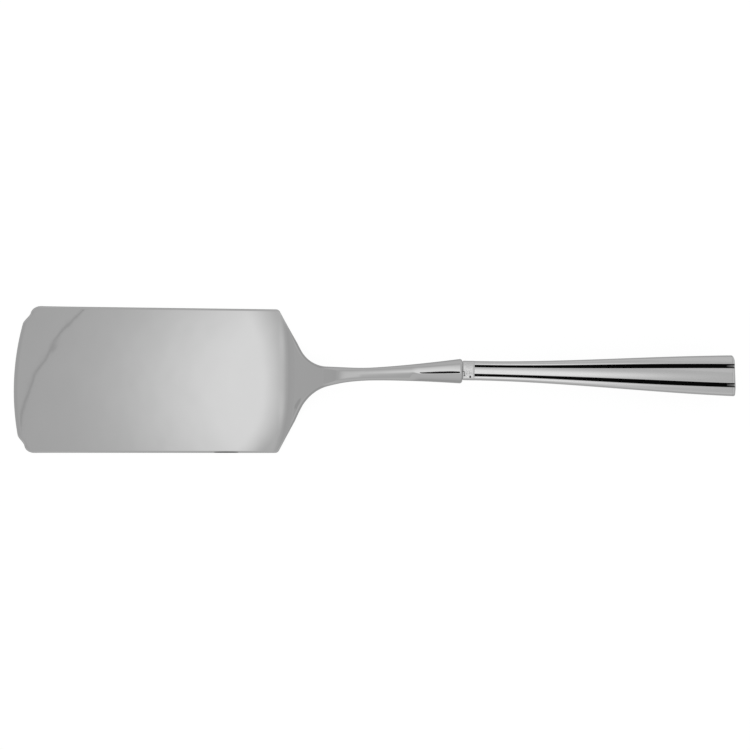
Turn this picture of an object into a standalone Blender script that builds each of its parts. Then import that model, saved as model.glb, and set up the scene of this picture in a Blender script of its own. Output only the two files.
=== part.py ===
# A lasagna server: one steel forging, which is the blade, the cranked neck, the shank, the
# bolster and a hidden tang, cemented into a hollow fluted handle. The handle is two struck half
# shells soldered along both sides, closed by a plain neck ferrule and a butt plate.
#
# Metres, +Z up. +X runs from the serving edge to the butt, +Y across the blade, and the flat
# underside of the blade lies at Z = 0.

import math

import bmesh
import bpy

# Blade, as the flat sheet in front of the heel
BLADE_LENGTH = 0.09525
BLADE_WIDTH = 0.0529
BLADE_TAPER = 0.0012
SHEET_THICKNESS = 0.0014
FRONT_EDGE_THICKNESS = 0.001
FRONT_THINNING_LENGTH = 0.011
EDGE_ROUND_LENGTH = 0.0009

# The serving edge bows forward, a little off the middle, and both corners are clipped by a step
FRONT_BOW_RADIUS = 0.092
FRONT_BOW_OFFSET = -0.0036
CORNER_STEP = 0.0017
CORNER_STEP_WIDTH = 0.0039
CORNER_STEP_INSET = 0.00645
CORNER_ROUND_WIDTH = 0.0022
CORNER_ROUND_LENGTH = 0.0028

# Neck, seen from above: straight shoulders, a tight fillet, then a long sweep to the waist
SHOULDER_SLOPE_DEG = 62.0
SHOULDER_ROUND_RADIUS = 0.0016
NECK_FILLET_RADIUS = 0.01355
SWEEP_SLOPE_DEG = 10.0
SHANK_SWEEP_RADIUS = 0.086
WAIST_WIDTH = 0.0046

# Neck, seen from the side: the heel bend tightens into a straight slope, then eases to nearly
# level, drops by a slight kink, and runs on to the bolster while the flare goes down
HEEL_LIFT_DEG = 1.3
HEEL_LIFT_LEAD = 0.0101
HEEL_LIFT_LENGTH = 0.01
HEEL_BEND_LEAD = 0.0011
HEEL_BEND_LENGTH = 0.0081
HEEL_DISH = 0.007
NECK_SLOPE_DEG = 44.0
NECK_RUN = 0.0086
CREST_LENGTH = 0.0058
EASE_SLOPE_DEG = 3.0
KINK_LENGTH = 0.0035
LEVEL_SLOPE_DEG = 1.4
END_SLOPE_DEG = 0.45
LEVEL_LENGTH = 0.0145

# Shank, bolster and tang
SHANK_LENGTH = 0.0336
BOLSTER_WIDTH = 0.00895
BOLSTER_THICKNESS = 0.00775
BOLSTER_RIM_ROUND = 0.00105
TANG_LENGTH = 0.045
TANG_DIAMETER = 0.0026
TANG_NOTCH_DEPTH = 0.0003
TANG_NOTCH_LENGTH = 0.0025
TANG_NOTCH_PITCH = 0.009

# This hand set example is slightly crooked: the forging drifts to +Y, and the handle comes back
# and is rolled a little towards +Y
FORGING_SWAY = 0.0026
NECK_SWAY = 0.00149
NECK_SWAY_LENGTH = 0.026
HANDLE_OFFSET = 0.00024
HANDLE_SWAY = 0.00128
HANDLE_ROLL_DEG = -0.9

# Handle
SHELL_LENGTH = 0.093
SHELL_WALL = 0.0005
MOUTH_WIDTH = 0.00692
MOUTH_THICKNESS = 0.0062
BUTT_WIDTH = 0.0146
BUTT_THICKNESS = 0.0086
SECTION_CROWN_RADIUS = 0.08
LOBE_CROWN_RADIUS = 0.045
SIDE_ROUND_MOUTH_WIDTH = 0.0008
SIDE_ROUND_BUTT_WIDTH = 0.0012
SIDE_ROUND_HEIGHT = 0.0019
FLUTE_MOUTH_WIDTH = 0.0009
FLUTE_BUTT_WIDTH = 0.00158
FLUTE_MOUTH_DEPTH = 0.00035
FLUTE_BUTT_DEPTH = 0.00055
SEAM_SOLDER_THICKNESS = 0.0003
SEAM_CLEARANCE = 0.0001

# The butt is worn: its face slants back towards +Y, and the corner there is rubbed round
BUTT_SLANT = 0.00047
BUTT_CORNER_WIDTH = 0.0016
BUTT_CORNER_LENGTH = 0.0006
BUTT_EASE_LENGTH = 0.01

# Ferrule, butt plate and cement
FERRULE_BAND_LENGTH = 0.0038
FERRULE_STEP = 0.00003
FERRULE_EDGE_ROUND = 0.0004
SPIGOT_LENGTH = 0.006
CAP_THICKNESS = 0.0007
CAP_EDGE_ROUND = 0.0003
CAP_DOME = 0.0002
CEMENT_SHORTFALL = 0.0087

# Space left between pieces that touch on the real object, and how far cutters run past
FIT_GAP = 0.0003
CUT_OVERRUN = 0.002
WELD_DISTANCE = 1e-6

# Shares of the sizes above
FLUTE_PLACE_SHARE = 0.47
HANDLE_END_FLARE_SHARE = 0.6
FLUTE_GROWTH_START_SHARE = 0.1
FLUTE_GROWTH_LENGTH_SHARE = 0.65
FLARE_POWER_SHARE = 1.5
DISH_POWER_SHARE = 3.0
DISH_SKEW_SHARE = 0.22
SECTION_POWER_SHARE = 2.5
BEND_POWER_SHARE = 4.3
RIM_ROUND_SHARES = (0.45, 0.8, 1.0)
SHOULDER_ROUND_SHARES = (0.0, 0.35, 0.7, 1.0)
EDGE_ROUND_SHARES = ((0.3, 0.72), (1.0, 1.0))
LIFT_ROW_SHARES = (0.0, 0.5, 0.8, 1.0)
BEND_ROW_SHARES = (0.12, 0.3, 0.45, 0.58, 0.7, 0.8, 0.9, 1.0)

COLUMNS = 24
RUN_ROWS = 3
CREST_ROWS = 5
SHANK_ROWS = 8
TANG_NOTCHES = 3
SHELL_ROWS = 16
LOBE_COLUMNS = 4
OUTER_LOBE_COLUMNS = 3
ROUND_COLUMNS = 4
CEMENT_ROWS = 8
ROUND_SEGMENTS = 32
SHARP_ANGLE_DEG = 32.0

SHOULDER_SLOPE = math.radians(SHOULDER_SLOPE_DEG)
SWEEP_SLOPE = math.radians(SWEEP_SLOPE_DEG)
NECK_SLOPE = math.radians(NECK_SLOPE_DEG)
EASE_SLOPE = math.radians(EASE_SLOPE_DEG)
LEVEL_SLOPE = math.radians(LEVEL_SLOPE_DEG)
END_SLOPE = math.radians(END_SLOPE_DEG)
LIFT_SLOPE = math.radians(HEEL_LIFT_DEG)

# Plan of the neck: how far each part of its outline reaches forward from the waist, and the
# half width there
sweep_reach = SHANK_SWEEP_RADIUS * math.sin(SWEEP_SLOPE)
sweep_half = WAIST_WIDTH / 2 + SHANK_SWEEP_RADIUS * (1 - math.cos(SWEEP_SLOPE))
fillet_reach = sweep_reach + NECK_FILLET_RADIUS * (math.sin(SHOULDER_SLOPE) - math.sin(SWEEP_SLOPE))
fillet_half = sweep_half + NECK_FILLET_RADIUS * (math.cos(SWEEP_SLOPE) - math.cos(SHOULDER_SLOPE))
heel_width = BLADE_WIDTH - BLADE_TAPER
neck_length = fillet_reach + (heel_width / 2 - fillet_half) / math.tan(SHOULDER_SLOPE)

# Places along the handle's own axis, from the back of the bolster
ferrule_start = FIT_GAP
ferrule_end = ferrule_start + FERRULE_BAND_LENGTH
spigot_end = ferrule_end + SPIGOT_LENGTH
shell_start = ferrule_end + FIT_GAP
shell_end = shell_start + SHELL_LENGTH
cap_start = shell_end + FIT_GAP
cap_end = cap_start + CAP_THICKNESS
cement_start = spigot_end + FIT_GAP
cement_end = shell_end - CEMENT_SHORTFALL
socket_radius = TANG_DIAMETER / 2 + FIT_GAP

# Places along X, with the middle of the whole length at zero
overall_length = BLADE_LENGTH + neck_length + SHANK_LENGTH + cap_end
x_front = -overall_length / 2
x_shoulder = x_front + BLADE_LENGTH
x_waist = x_shoulder + neck_length
shoulder_tangent = SHOULDER_ROUND_RADIUS * math.tan(SHOULDER_SLOPE / 2)
x_round = x_shoulder - shoulder_tangent
x_slant = x_shoulder + shoulder_tangent * math.cos(SHOULDER_SLOPE)
x_bolster = x_waist + SHANK_LENGTH
x_bend = x_shoulder - HEEL_BEND_LEAD
x_lift = x_shoulder - HEEL_LIFT_LEAD
x_run = x_bend + HEEL_BEND_LENGTH
x_crest = x_run + NECK_RUN
x_ease = x_crest + CREST_LENGTH
x_level = x_bolster - LEVEL_LENGTH
x_kink = x_level - KINK_LENGTH


def smooth(share):
    share = min(max(share, 0.0), 1.0)
    return share * share * (3 - 2 * share)


def mix(low, high, share):
    return low + (high - low) * share


# Side profile

def slope_at(x):
    if x <= x_run:
        lift = LIFT_SLOPE * smooth((x - x_lift) / HEEL_LIFT_LENGTH)
        return mix(lift, NECK_SLOPE, (max(x - x_bend, 0.0) / HEEL_BEND_LENGTH) ** BEND_POWER_SHARE)
    if x <= x_crest:
        return NECK_SLOPE
    if x <= x_ease:
        return mix(NECK_SLOPE, EASE_SLOPE, (x - x_crest) / CREST_LENGTH)
    if x <= x_level:
        return mix(EASE_SLOPE, LEVEL_SLOPE, smooth((x - x_kink) / KINK_LENGTH))
    return mix(LEVEL_SLOPE, END_SLOPE, min((x - x_level) / LEVEL_LENGTH, 1.0))


def tabulate_rise():
    # The slope summed in equal steps from where the heel begins to lift to the bolster
    steps = 600
    step = (x_bolster - x_lift) / steps
    heights = [0.0]
    for index in range(steps):
        middle = x_lift + (index + 0.5) * step
        heights.append(heights[-1] + step * math.tan(slope_at(middle)))
    return heights, step


rise_heights, rise_step = tabulate_rise()
axis_height = SHEET_THICKNESS + rise_heights[-1] - BOLSTER_THICKNESS / 2


def rise_at(x):
    place = (x - x_lift) / rise_step
    if place <= 0:
        return 0.0
    if place >= len(rise_heights) - 1:
        return rise_heights[-1]
    index = int(place)
    return mix(rise_heights[index], rise_heights[index + 1], place - index)


# Plan

def sway_at(x):
    if x <= x_bolster:
        along = max(x - x_shoulder, 0.0)
        neck = NECK_SWAY * smooth(along / NECK_SWAY_LENGTH)
        return FORGING_SWAY * along / (x_bolster - x_shoulder) + neck
    return FORGING_SWAY + NECK_SWAY + HANDLE_OFFSET - HANDLE_SWAY * (x - x_bolster) / cap_end


def half_width_at(x):
    if x <= x_slant:
        side = mix(BLADE_WIDTH, heel_width, (x - x_front) / BLADE_LENGTH) / 2
        past = max(x - x_round, 0.0)
        return side - SHOULDER_ROUND_RADIUS + math.sqrt(SHOULDER_ROUND_RADIUS ** 2 - past ** 2)
    ahead = x_waist - x
    if ahead > fillet_reach:
        return fillet_half + (ahead - fillet_reach) * math.tan(SHOULDER_SLOPE)
    if ahead > sweep_reach:
        lean = math.asin(math.sin(SWEEP_SLOPE) + (ahead - sweep_reach) / NECK_FILLET_RADIUS)
        return sweep_half + NECK_FILLET_RADIUS * (math.cos(SWEEP_SLOPE) - math.cos(lean))
    if ahead > 0:
        lean = math.asin(ahead / SHANK_SWEEP_RADIUS)
        return WAIST_WIDTH / 2 + SHANK_SWEEP_RADIUS * (1 - math.cos(lean))
    return mix(WAIST_WIDTH, BOLSTER_WIDTH, (-ahead / SHANK_LENGTH) ** FLARE_POWER_SHARE) / 2


def half_thickness_at(x):
    if x <= x_shoulder:
        thinned = 1 - smooth((x - x_front) / FRONT_THINNING_LENGTH)
        return mix(SHEET_THICKNESS, FRONT_EDGE_THICKNESS, thinned) / 2
    if x <= x_waist:
        return mix(SHEET_THICKNESS, WAIST_WIDTH, smooth((x - x_shoulder) / neck_length)) / 2
    flare = ((x - x_waist) / SHANK_LENGTH) ** FLARE_POWER_SHARE
    return mix(WAIST_WIDTH, BOLSTER_THICKNESS, flare) / 2


def front_setback(y):
    # How far the serving edge lies behind its foremost point, across the blade
    bow = FRONT_BOW_RADIUS - math.sqrt(FRONT_BOW_RADIUS ** 2 - (y - FRONT_BOW_OFFSET) ** 2)
    inset = BLADE_WIDTH / 2 - abs(y)
    step = CORNER_STEP * smooth((CORNER_STEP_INSET - inset) / CORNER_STEP_WIDTH)
    round_share = min(max(1 - inset / CORNER_ROUND_WIDTH, 0.0), 1.0)
    corner = CORNER_ROUND_LENGTH * (1 - math.sqrt(1 - round_share ** 2))
    return bow + step + corner


def dish_at(y):
    # How much earlier than in the middle the heel bends, more so on the -Y side
    skew = 1 - math.copysign(DISH_SKEW_SHARE, y)
    return HEEL_DISH * skew * abs(2 * y / heel_width) ** DISH_POWER_SHARE


# Forging

def thickness_share(share, half_width, half_thickness, roundness):
    # From a flat strip with rounded edges to a squarish oval
    edge = min(half_thickness / half_width, 1.0)
    past_flat = max(abs(share) - (1 - edge), 0.0) / edge
    strip = math.sqrt(max(1 - past_flat ** 2, 0.0))
    oval = max(1 - abs(share) ** SECTION_POWER_SHARE, 0.0) ** (1 / SECTION_POWER_SHARE)
    return mix(strip, oval, roundness)


def column_shares():
    return [math.sin(math.pi * (index / COLUMNS - 0.5)) for index in range(COLUMNS + 1)]


def around(shares):
    # Each column once over the top, then back underneath without the two edges
    over = [(share, 1) for share in shares]
    under = [(share, -1) for share in reversed(shares[1:-1])]
    return over + under


def forging_ring(x, follow=0.0, body=1.0, half_width=None, half_thickness=None):
    # One ring of the forging at x. follow bends it along the serving edge, body thins it. The
    # top keeps to the line of rise, so the forging gains its thickness below.
    wide = half_width_at(x) if half_width is None else half_width
    thick = half_thickness_at(x) if half_thickness is None else half_thickness
    top = half_thickness_at(x)
    roundness = smooth((x - x_shoulder) / neck_length)
    ring = []
    for share, side in around(column_shares()):
        y = share * wide
        px = x + follow * front_setback(y)
        dish = dish_at(y) if x < x_waist else 0.0
        lean = slope_at(px + dish)
        middle = rise_at(px + dish) + SHEET_THICKNESS - top
        reach = side * body * thick * thickness_share(share, wide, thick, roundness)
        ring.append((px - reach * math.sin(lean), y + sway_at(px), middle + reach * math.cos(lean)))
    return ring


def tang_ring(x, radius):
    ring = []
    for share, side in around(column_shares()):
        height = side * radius * math.sqrt(max(1 - share ** 2, 0.0))
        ring.append((x, radius * share + sway_at(x), axis_height + height))
    return ring


def forging_rings():
    rings = [forging_ring(x_front, 1.0, 0.0)]
    for place_share, body_share in EDGE_ROUND_SHARES:
        rings.append(forging_ring(x_front + EDGE_ROUND_LENGTH * place_share, 1.0, body_share))
    rings.append(forging_ring(x_front + FRONT_THINNING_LENGTH))
    for share in LIFT_ROW_SHARES:
        rings.append(forging_ring(mix(x_lift - HEEL_DISH, x_bend, share)))
    bend_rows = [x_bend + HEEL_BEND_LENGTH * share for share in BEND_ROW_SHARES]
    shoulder_rows = [mix(x_round, x_slant, share) for share in SHOULDER_ROUND_SHARES]
    before = [x for x in bend_rows if x < x_round]
    after = [x for x in bend_rows if x > x_slant]
    for x in before + shoulder_rows + after:
        rings.append(forging_ring(x))
    for row in range(1, RUN_ROWS + 1):
        rings.append(forging_ring(mix(x_run, x_crest, row / RUN_ROWS)))
    for row in range(1, CREST_ROWS + 1):
        rings.append(forging_ring(mix(x_crest, x_ease, row / CREST_ROWS)))
    rim_start = x_bolster - BOLSTER_RIM_ROUND
    for row in range(1, SHANK_ROWS + 1):
        rings.append(forging_ring(mix(x_ease, rim_start, row / SHANK_ROWS)))
    for share in RIM_ROUND_SHARES:
        drop = BOLSTER_RIM_ROUND * (1 - math.sqrt(1 - share ** 2))
        wide = half_width_at(rim_start) - drop
        thick = half_thickness_at(rim_start) - drop
        rings.append(forging_ring(rim_start + BOLSTER_RIM_ROUND * share, 0.0, 1.0, wide, thick))
    return rings


def tang_rings():
    radius = TANG_DIAMETER / 2
    bottom = radius - TANG_NOTCH_DEPTH
    rings = [tang_ring(x_bolster, radius)]
    for notch in range(1, TANG_NOTCHES + 1):
        start = x_bolster + TANG_NOTCH_PITCH * notch
        end = start + TANG_NOTCH_LENGTH
        rings.append(tang_ring(start, radius))
        rings.append(tang_ring(start + TANG_NOTCH_DEPTH, bottom))
        rings.append(tang_ring(end - TANG_NOTCH_DEPTH, bottom))
        rings.append(tang_ring(end, radius))
    rings.append(tang_ring(x_bolster + TANG_LENGTH - TANG_NOTCH_DEPTH, radius))
    rings.append(tang_ring(x_bolster + TANG_LENGTH, bottom))
    return rings


# Handle sections, in the handle's own frame

def flare_at(x):
    share = min(max((x - shell_start) / SHELL_LENGTH, 0.0), 1.0)
    return smooth(share) - HANDLE_END_FLARE_SHARE * share * share * (1 - share)


def handle_half_sizes(x):
    flare = flare_at(x)
    return mix(MOUTH_WIDTH, BUTT_WIDTH, flare) / 2, mix(MOUTH_THICKNESS, BUTT_THICKNESS, flare) / 2


def flute_at(x):
    # The centre of each flute from the axis, half its width, and its depth
    flare = flare_at(x)
    centre = FLUTE_PLACE_SHARE * handle_half_sizes(x)[0]
    along_share = (x - shell_start) / SHELL_LENGTH
    growth = smooth((along_share - FLUTE_GROWTH_START_SHARE) / FLUTE_GROWTH_LENGTH_SHARE)
    half = mix(FLUTE_MOUTH_WIDTH, FLUTE_BUTT_WIDTH, growth) / 2
    return centre, half, mix(FLUTE_MOUTH_DEPTH, FLUTE_BUTT_DEPTH, flare)


def side_width_at(x):
    return mix(SIDE_ROUND_MOUTH_WIDTH, SIDE_ROUND_BUTT_WIDTH, flare_at(x))


def butt_setback(x, y):
    # How far the worn butt lies behind a square one, fading out ahead of it
    wide = handle_half_sizes(x)[0]
    slant = BUTT_SLANT * (y + wide) / (2 * wide)
    rubbed = max(1 - (wide - y) / BUTT_CORNER_WIDTH, 0.0)
    follow = smooth(1 - (shell_end - x) / BUTT_EASE_LENGTH)
    return follow * (slant + BUTT_CORNER_LENGTH * rubbed ** 2)


def crown_drop(radius, off):
    return radius - math.sqrt(radius ** 2 - off ** 2)


def section_height(x, y, fluted=True):
    # Three gently crowned lobes parted by two V flutes, on a bar with rounded sides
    wide, high = handle_half_sizes(x)
    centre, half, depth = flute_at(x)
    off = abs(y)
    side = side_width_at(x)
    round_start = wide - side
    height = high - crown_drop(SECTION_CROWN_RADIUS, min(off, round_start))
    if off > round_start:
        past = min((off - round_start) / side, 1.0)
        return height - SIDE_ROUND_HEIGHT * (1 - math.sqrt(1 - past ** 2))
    if not fluted:
        return height
    if off <= centre - half:
        return height - crown_drop(LOBE_CROWN_RADIUS, off)
    edge_drop = crown_drop(LOBE_CROWN_RADIUS, centre - half)
    if off < centre + half:
        return height - edge_drop - depth * (1 - abs(off - centre) / half)
    return height - edge_drop * (round_start - off) / (round_start - centre - half)


def section_places(x):
    # Where the section's columns lie across the handle, from the middle to one side
    wide = handle_half_sizes(x)[0]
    centre, half, _ = flute_at(x)
    side = side_width_at(x)
    round_start = wide - side
    lobe_steps = LOBE_COLUMNS // 2
    places = [(centre - half) * index / lobe_steps for index in range(lobe_steps + 1)]
    places.append(centre)
    for index in range(OUTER_LOBE_COLUMNS + 1):
        places.append(mix(centre + half, round_start, index / OUTER_LOBE_COLUMNS))
    for index in range(1, ROUND_COLUMNS + 1):
        turn = math.pi / 2 * index / ROUND_COLUMNS
        places.append(round_start + side * math.sin(turn))
    return places


def section_half(x, seam_height, fluted=True):
    # The upper half of the section from -Y to +Y, ending on the seam plane or just above it
    side = [(y, section_height(x, y, fluted)) for y in section_places(x)]
    side.append((side[-1][0], seam_height))
    return [(-y, z) for y, z in reversed(side[1:])] + side


def section_ring(x, place_x, inset, fluted=True):
    # The whole section as a ring at x, with the sizes it has at place_x, drawn in by inset
    wide, high = handle_half_sizes(place_x)
    over = section_half(place_x, 0.0, fluted)
    outline = over + [(y, -z) for y, z in reversed(over[1:-1])]
    return [(x, y * (wide - inset) / wide, z * (high - inset) / high) for y, z in outline]


def inner_half_sizes(x):
    # The oval left inside the shells, clear of the flutes' undersides
    wide = handle_half_sizes(x)[0]
    centre, _, depth = flute_at(x)
    lost = SHELL_WALL + FIT_GAP
    return wide - lost, section_height(x, centre, False) - lost - depth


def oval_ring(x, half_width, half_height, count=ROUND_SEGMENTS):
    # Starts at -Y and goes over the top, as the section does
    ring = []
    for index in range(count):
        turn = math.pi * (1 - 2 * index / count)
        ring.append((x, half_width * math.cos(turn), half_height * math.sin(turn)))
    return ring


# Meshes and objects

def clear_scene():
    for thing in list(bpy.data.objects):
        bpy.data.objects.remove(thing, do_unlink=True)


def make_collection(name):
    collection = bpy.data.collections.new(name)
    bpy.context.scene.collection.children.link(collection)
    return collection


def make_material(name, colour, roughness, metallic):
    material = bpy.data.materials.new(name)
    material.use_nodes = True
    shader = material.node_tree.nodes["Principled BSDF"]
    shader.inputs["Base Color"].default_value = (*colour, 1.0)
    shader.inputs["Roughness"].default_value = roughness
    shader.inputs["Metallic"].default_value = metallic
    return material


def finish_mesh(bm, name):
    bmesh.ops.recalc_face_normals(bm, faces=bm.faces)
    mesh = bpy.data.meshes.new(name)
    bm.to_mesh(mesh)
    bm.free()
    mesh.shade_smooth()
    mesh.set_sharp_from_angle(angle=math.radians(SHARP_ANGLE_DEG))
    return mesh


def add_piece(collection, name, mesh, material, parent=None):
    mesh.materials.append(material)
    thing = bpy.data.objects.new(name, mesh)
    thing.parent = parent
    collection.objects.link(thing)
    return thing


def loft(rings, name, closed_start=True):
    # Skin between rings of equal count, with flat ends
    bm = bmesh.new()
    rows = [[bm.verts.new(point) for point in ring] for ring in rings]
    count = len(rows[0])
    for low, high in zip(rows, rows[1:]):
        for index in range(count):
            after = (index + 1) % count
            bm.faces.new((low[index], low[after], high[after], high[index]))
    if closed_start:
        bm.faces.new(reversed(rows[0]))
    bm.faces.new(rows[-1])
    bmesh.ops.remove_doubles(bm, verts=bm.verts, dist=WELD_DISTANCE)
    return finish_mesh(bm, name)


def shell_mesh(side):
    # One struck half: a flat grid carried onto the section, open along the seam and at both ends.
    # side is -1 for the half that is turned over, whose +Y then faces the other way.
    edge = SEAM_SOLDER_THICKNESS / 2 + SEAM_CLEARANCE
    columns = len(section_half(shell_start, edge)) - 1
    bm = bmesh.new()
    bmesh.ops.create_grid(bm, x_segments=SHELL_ROWS, y_segments=columns, size=1)
    for vert in bm.verts:
        x = mix(shell_start, shell_end, (vert.co.x + 1) / 2)
        column = round((vert.co.y + 1) / 2 * columns)
        y, z = section_half(x, edge)[column]
        vert.co = (x - butt_setback(x, side * y), y, z)
    return finish_open_mesh(bm, "handle_shell")


def finish_open_mesh(bm, name):
    mesh = bpy.data.meshes.new(name)
    bm.to_mesh(mesh)
    bm.free()
    mesh.shade_smooth()
    mesh.set_sharp_from_angle(angle=math.radians(SHARP_ANGLE_DEG))
    return mesh


def add_shells(collection, axis, material):
    for name, side, turn in (("handle_shell_upper", 1, 0.0), ("handle_shell_lower", -1, math.pi)):
        mesh = shell_mesh(side)
        mesh.materials.append(material)
        shell = bpy.data.objects.new(name, mesh)
        shell.parent = axis
        shell.rotation_euler.x = turn
        collection.objects.link(shell)
        wall = shell.modifiers.new("wall", "SOLIDIFY")
        wall.thickness = SHELL_WALL
        wall.offset = -1.0
        wall.use_rim = True


def add_seams(collection, axis, material):
    # A strip of solder between the shell edges, from mouth to butt
    half = SEAM_SOLDER_THICKNESS / 2
    for name, side, turn in (("seam_solder_near", 1, 0.0), ("seam_solder_far", -1, math.pi)):
        rings = []
        for row in range(SHELL_ROWS + 1):
            x = mix(shell_start, shell_end, row / SHELL_ROWS)
            wide = handle_half_sizes(x)[0]
            inner = wide - SHELL_WALL
            ring = [(-wide, -half), (-inner, -half), (-inner, half), (-wide, half)]
            rings.append([(x - butt_setback(x, side * y), y, z) for y, z in ring])
        mesh = loft(rings, name)
        mesh.materials.append(material)
        strip = bpy.data.objects.new(name, mesh)
        strip.parent = axis
        strip.rotation_euler.x = turn
        collection.objects.link(strip)


def add_tang_cutter(collection, axis):
    start = ferrule_start - CUT_OVERRUN
    end = TANG_LENGTH + FIT_GAP
    bm = bmesh.new()
    bmesh.ops.create_cone(bm, cap_ends=True, segments=ROUND_SEGMENTS, radius1=socket_radius,
                          radius2=socket_radius, depth=end - start)
    mesh = bpy.data.meshes.new("tang_cutter")
    bm.to_mesh(mesh)
    bm.free()
    cutter = bpy.data.objects.new("tang_cutter", mesh)
    cutter.parent = axis
    cutter.rotation_euler.y = math.pi / 2
    cutter.location.x = (start + end) / 2
    cutter.display_type = "WIRE"
    cutter.hide_render = True
    collection.objects.link(cutter)
    return cutter


def cut(thing, cutter):
    bore = thing.modifiers.new("bore", "BOOLEAN")
    bore.operation = "DIFFERENCE"
    bore.solver = "EXACT"
    bore.object = cutter


def add_ferrule(collection, axis, cutter, material):
    # A plain band a hair proud of the shells, with a spigot inside them
    spigot = inner_half_sizes(shell_start)
    soft = FERRULE_EDGE_ROUND
    band = [
        section_ring(ferrule_start, shell_start, soft, fluted=False),
        section_ring(ferrule_start + soft, shell_start, -FERRULE_STEP, fluted=False),
        section_ring(ferrule_end, shell_start, -FERRULE_STEP, fluted=False),
    ]
    count = len(band[0])
    rings = band + [oval_ring(ferrule_end, *spigot, count), oval_ring(spigot_end, *spigot, count)]
    ferrule = add_piece(collection, "neck_ferrule", loft(rings, "neck_ferrule"), material, axis)
    cut(ferrule, cutter)


def add_cement(collection, axis, cutter, material):
    rings = []
    for row in range(CEMENT_ROWS + 1):
        x = mix(cement_start, cement_end, row / CEMENT_ROWS)
        rings.append(oval_ring(x, *inner_half_sizes(x)))
    cement = add_piece(collection, "handle_cement", loft(rings, "handle_cement"), material, axis)
    cut(cement, cutter)


def add_butt_cap(collection, axis, material):
    # A plate filed to the shells' own outline, flutes and all, with a faint dome
    face = cap_end - CAP_DOME
    rings = [
        section_ring(cap_start, shell_end, 0.0),
        section_ring(face - CAP_EDGE_ROUND, shell_end, 0.0),
        section_ring(face, shell_end, CAP_EDGE_ROUND),
        section_ring(cap_end, shell_end, handle_half_sizes(shell_end)[1] / 2),
    ]
    worn = [[(x - butt_setback(shell_end, y), y, z) for x, y, z in ring] for ring in rings]
    add_piece(collection, "butt_cap", loft(worn, "butt_cap"), material, axis)


def build():
    clear_scene()
    parts = make_collection("lasagna_server")
    cutters = make_collection("cutters")

    steel = make_material("polished_steel", (0.60, 0.60, 0.61), 0.18, 1.0)
    silver = make_material("polished_silver", (0.72, 0.71, 0.69), 0.16, 1.0)
    collar = make_material("ferrule_silver", (0.66, 0.65, 0.63), 0.22, 1.0)
    plate = make_material("butt_silver", (0.70, 0.69, 0.67), 0.18, 1.0)
    solder = make_material("silver_solder", (0.58, 0.57, 0.55), 0.35, 1.0)
    filler = make_material("handle_cement", (0.16, 0.13, 0.10), 0.9, 0.0)

    rings = forging_rings() + tang_rings()
    add_piece(parts, "blade", loft(rings, "blade", closed_start=False), steel)

    axis = bpy.data.objects.new("handle_axis", None)
    axis.location = (x_bolster, sway_at(x_bolster) + HANDLE_OFFSET, axis_height)
    axis.rotation_euler = (math.radians(HANDLE_ROLL_DEG), 0.0, -math.atan(HANDLE_SWAY / cap_end))
    parts.objects.link(axis)

    cutter = add_tang_cutter(cutters, axis)
    add_shells(parts, axis, silver)
    add_seams(parts, axis, solder)
    add_ferrule(parts, axis, cutter, collar)
    add_cement(parts, axis, cutter, filler)
    add_butt_cap(parts, axis, plate)


build()
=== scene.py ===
import math

import bpy
import numpy as np
from mathutils import Euler, Matrix, Vector


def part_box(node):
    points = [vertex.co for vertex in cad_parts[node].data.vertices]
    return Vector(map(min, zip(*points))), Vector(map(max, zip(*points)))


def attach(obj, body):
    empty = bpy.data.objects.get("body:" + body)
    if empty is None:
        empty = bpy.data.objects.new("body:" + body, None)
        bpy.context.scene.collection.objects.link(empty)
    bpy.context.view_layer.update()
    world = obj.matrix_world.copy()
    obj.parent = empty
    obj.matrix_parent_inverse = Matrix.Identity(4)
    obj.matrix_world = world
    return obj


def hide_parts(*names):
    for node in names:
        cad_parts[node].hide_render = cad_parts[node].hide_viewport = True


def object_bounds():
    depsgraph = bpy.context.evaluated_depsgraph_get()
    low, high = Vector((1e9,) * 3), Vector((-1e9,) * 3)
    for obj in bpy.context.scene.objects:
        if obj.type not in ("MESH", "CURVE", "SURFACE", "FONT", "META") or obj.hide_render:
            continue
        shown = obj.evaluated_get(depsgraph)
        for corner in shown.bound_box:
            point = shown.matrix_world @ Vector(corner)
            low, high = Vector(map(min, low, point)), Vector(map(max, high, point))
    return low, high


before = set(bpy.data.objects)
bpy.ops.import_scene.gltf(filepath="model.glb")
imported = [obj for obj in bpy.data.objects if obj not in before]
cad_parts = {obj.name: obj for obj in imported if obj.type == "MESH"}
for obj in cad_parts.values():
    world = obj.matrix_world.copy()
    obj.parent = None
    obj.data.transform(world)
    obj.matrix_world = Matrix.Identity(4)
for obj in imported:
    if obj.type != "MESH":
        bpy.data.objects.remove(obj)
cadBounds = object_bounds()
mm = 0.001


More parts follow.
